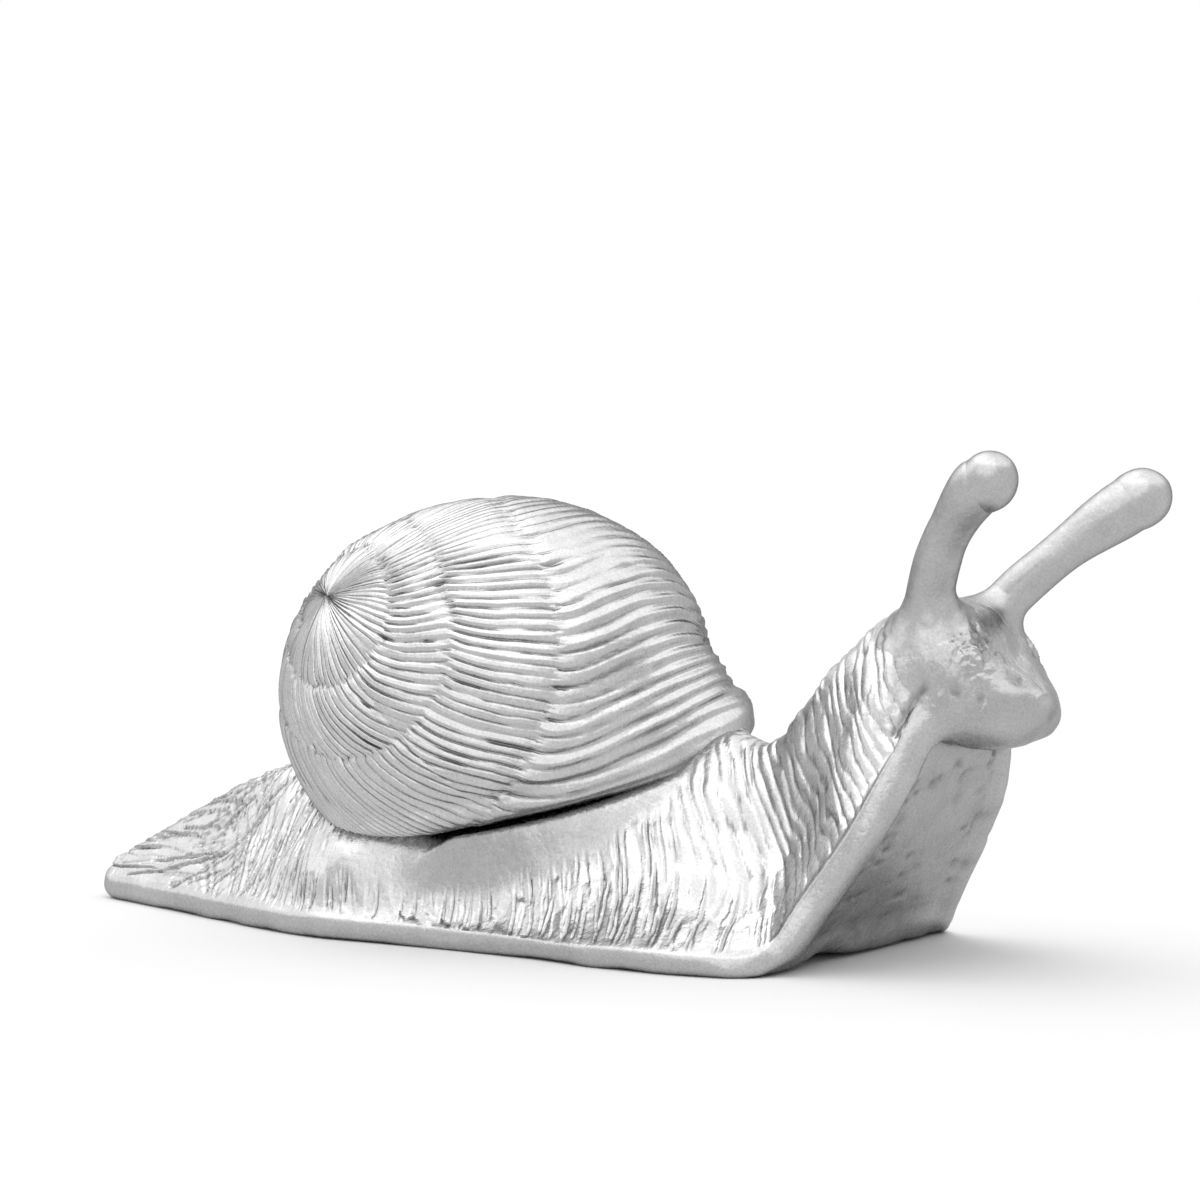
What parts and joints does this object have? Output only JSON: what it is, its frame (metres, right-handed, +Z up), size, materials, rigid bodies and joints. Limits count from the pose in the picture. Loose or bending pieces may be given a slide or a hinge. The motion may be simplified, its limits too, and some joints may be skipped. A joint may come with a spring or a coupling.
{
  "type": "snail figurine",
  "caption": "Free-standing snail ornament with a ribbed spiral shell on a flared foot, a raised neck and head, and two eye stalks.",
  "frame": {"origin": "on the surface the figurine stands on, under the middle of the sole's length", "axes": "+X towards the head, +Y towards the snail's left, +Z up"},
  "size_m": [0.1932, 0.0734, 0.0823],
  "materials": {
    "foot_silver": "satin silver on cast resin, carved lines",
    "shell_silver": "satin silver on cast resin, carved ribs",
    "stalk_silver": "satin silver on cast resin, smooth",
    "eye_silver": "polished silver on cast resin",
    "steel": "drawn wire",
    "felt": "pressed felt"
  },
  "bodies": {
    "root": {"foot_body": "foot_silver", "shell": "shell_silver", "shell_dowels": "steel", "right_eye_stalk": "stalk_silver", "left_eye_stalk": "stalk_silver", "right_eye": "eye_silver", "left_eye": "eye_silver", "right_stalk_wire": "steel", "left_stalk_wire": "steel", "sole_pads": "felt"}
  },
  "joints": []
}
